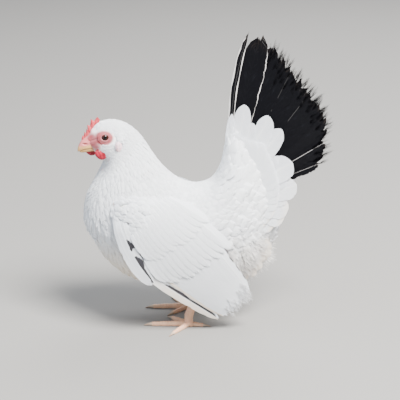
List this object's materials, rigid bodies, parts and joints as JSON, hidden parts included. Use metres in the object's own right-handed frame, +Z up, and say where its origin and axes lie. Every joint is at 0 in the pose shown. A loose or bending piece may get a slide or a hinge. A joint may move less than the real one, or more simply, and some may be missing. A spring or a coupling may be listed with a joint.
{
  "type": "japanese bantam hen",
  "caption": "Life-size still model of a japanese bantam hen standing with its tail upright, on its own two feet.",
  "frame": {"origin": "on the floor, under the middle of the bird's bounding box", "axes": "+Z up; the bird looks along -X and its left side faces -Y"},
  "size_m": [0.2463, 0.1166, 0.2921],
  "materials": {
    "plumage": "soft white feathers",
    "tail_feather": "black feathers with pale edges, white coverts",
    "comb": "bare red skin",
    "lobe": "bare pale pink skin",
    "horn": "yellow horn, satin",
    "leg_skin": "scaled yellow-pink skin",
    "claw": "dark horn, satin",
    "eye": "dark red-brown, wet gloss"
  },
  "bodies": {
    "root": {"beak_lower": "horn", "beak_upper": "horn", "claw_left_hind": "claw", "claw_left_inner": "claw", "claw_left_middle": "claw", "claw_left_outer": "claw", "claw_right_hind": "claw", "claw_right_inner": "claw", "claw_right_middle": "claw", "claw_right_outer": "claw", "comb": "comb", "earlobe_left": "lobe", "earlobe_right": "lobe", "eye_left": "eye", "eye_right": "eye", "foot_left": "leg_skin", "foot_right": "leg_skin", "head": "plumage", "neck": "plumage", "rump": "plumage", "shank_left": "leg_skin", "shank_right": "leg_skin", "tail": "tail_feather", "thigh_left": "plumage", "thigh_right": "plumage", "torso": "plumage", "wattle_left": "comb", "wattle_right": "comb", "wing_left": "plumage", "wing_right": "plumage"}
  },
  "joints": []
}
